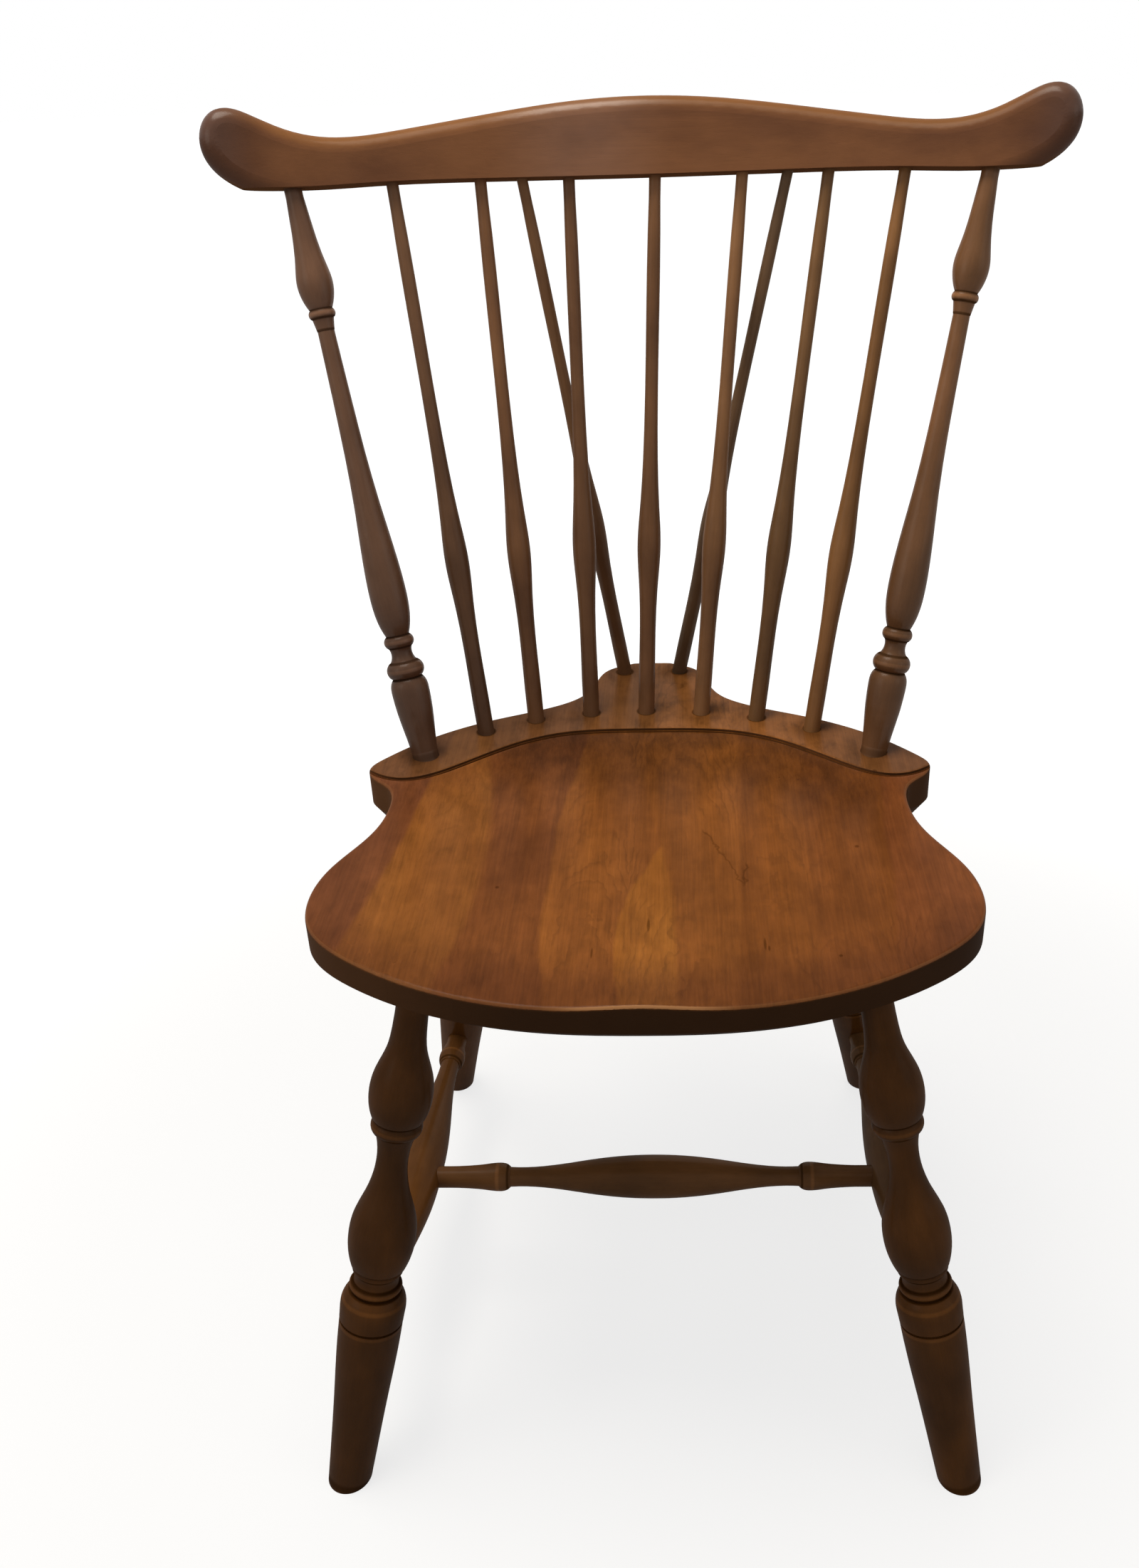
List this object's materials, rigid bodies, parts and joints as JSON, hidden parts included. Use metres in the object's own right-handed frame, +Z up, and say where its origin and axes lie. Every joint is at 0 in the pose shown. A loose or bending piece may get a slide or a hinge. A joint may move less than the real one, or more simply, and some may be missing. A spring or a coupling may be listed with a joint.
{
  "type": "windsor chair",
  "caption": "Braced fan-back windsor side chair in stained hardwood, with a saddled seat, turned splayed legs and an H stretcher.",
  "frame": {"origin": "on the floor, under the middle of the chair's overall width and depth", "axes": "+Z up, +Y towards the back, +X to the right seen from the front"},
  "size_m": [0.6396, 0.5368, 0.9254],
  "materials": {
    "seat_wood": "satin",
    "crest_wood": "satin",
    "back_wood": "satin",
    "leg_wood": "satin"
  },
  "bodies": {
    "root": {"seat_board_1": "seat_wood", "seat_board_2": "seat_wood", "seat_board_3": "seat_wood", "seat_board_4": "seat_wood", "seat_board_5": "seat_wood", "seat_board_6": "seat_wood", "seat_board_7": "seat_wood", "seat_board_8": "seat_wood", "crest_rail": "crest_wood", "back_post_left": "back_wood", "back_post_right": "back_wood", "back_spindle_1": "back_wood", "back_spindle_2": "back_wood", "back_spindle_3": "back_wood", "back_spindle_4": "back_wood", "back_spindle_5": "back_wood", "back_spindle_6": "back_wood", "back_spindle_7": "back_wood", "brace_spindle_left": "back_wood", "brace_spindle_right": "back_wood", "front_leg_left": "leg_wood", "front_leg_right": "leg_wood", "rear_leg_left": "leg_wood", "rear_leg_right": "leg_wood", "side_stretcher_left": "leg_wood", "side_stretcher_right": "leg_wood", "centre_stretcher": "leg_wood"}
  },
  "joints": []
}
